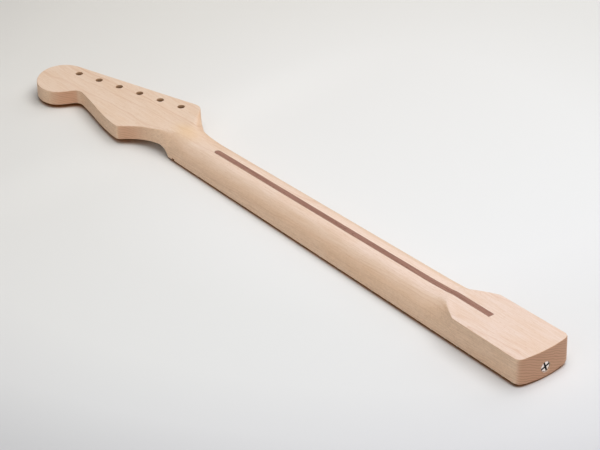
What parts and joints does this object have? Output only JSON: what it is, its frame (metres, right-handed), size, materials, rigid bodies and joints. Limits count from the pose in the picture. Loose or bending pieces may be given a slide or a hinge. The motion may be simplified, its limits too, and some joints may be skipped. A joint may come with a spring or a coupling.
{
  "type": "electric guitar neck",
  "caption": "Bolt-on maple electric guitar neck with fretted board, carved back, walnut rod stripe, slotted truss rod nut and six-in-line headstock.",
  "frame": {"origin": "middle of the heel's flat seat on the back of the neck, where the body's screws pull it down", "axes": "+X from the headstock to the heel end, +Y towards the bass side with the tuner holes, +Z out of the back of the neck; the fingerboard faces -Z"},
  "size_m": [0.6578, 0.0929, 0.0266],
  "materials": {
    "maple": "bare sanded maple",
    "walnut": "bare sanded walnut",
    "steel": "bright zinc-plated steel",
    "nickel_silver": "polished fret wire",
    "black_plastic": "sanded flush"
  },
  "bodies": {
    "neck": {"neck_blank": "maple", "back_stripe": "walnut", "head_plug": "walnut", "truss_rod": "steel", "rod_washer": "steel", "rod_anchor": "steel", "fret_01": "nickel_silver", "fret_02": "nickel_silver", "fret_03": "nickel_silver", "fret_04": "nickel_silver", "fret_05": "nickel_silver", "fret_06": "nickel_silver", "fret_07": "nickel_silver", "fret_08": "nickel_silver", "fret_09": "nickel_silver", "fret_10": "nickel_silver", "fret_11": "nickel_silver", "fret_12": "nickel_silver", "fret_13": "nickel_silver", "fret_14": "nickel_silver", "fret_15": "nickel_silver", "fret_16": "nickel_silver", "fret_17": "nickel_silver", "fret_18": "nickel_silver", "fret_19": "nickel_silver", "fret_20": "nickel_silver", "fret_21": "nickel_silver", "face_dot_03": "black_plastic", "face_dot_05": "black_plastic", "face_dot_07": "black_plastic", "face_dot_09": "black_plastic", "face_dot_12_a": "black_plastic", "face_dot_12_b": "black_plastic", "face_dot_15": "black_plastic", "face_dot_17": "black_plastic", "face_dot_19": "black_plastic", "face_dot_21": "black_plastic", "side_dot_03": "black_plastic", "side_dot_05": "black_plastic", "side_dot_07": "black_plastic", "side_dot_09": "black_plastic", "side_dot_12_a": "black_plastic", "side_dot_12_b": "black_plastic", "side_dot_15": "black_plastic", "side_dot_17": "black_plastic", "side_dot_19": "black_plastic", "side_dot_21": "black_plastic"},
    "truss_nut": {"truss_rod_nut": "steel"}
  },
  "joints": [
    {"name": "truss_nut_turn", "type": "hinge", "parent": "neck", "child": "truss_nut", "pos_m": [0.0302, 0, -0.0164], "axis": [1, 0, 0], "range_deg": [-360, 360]}
  ]
}
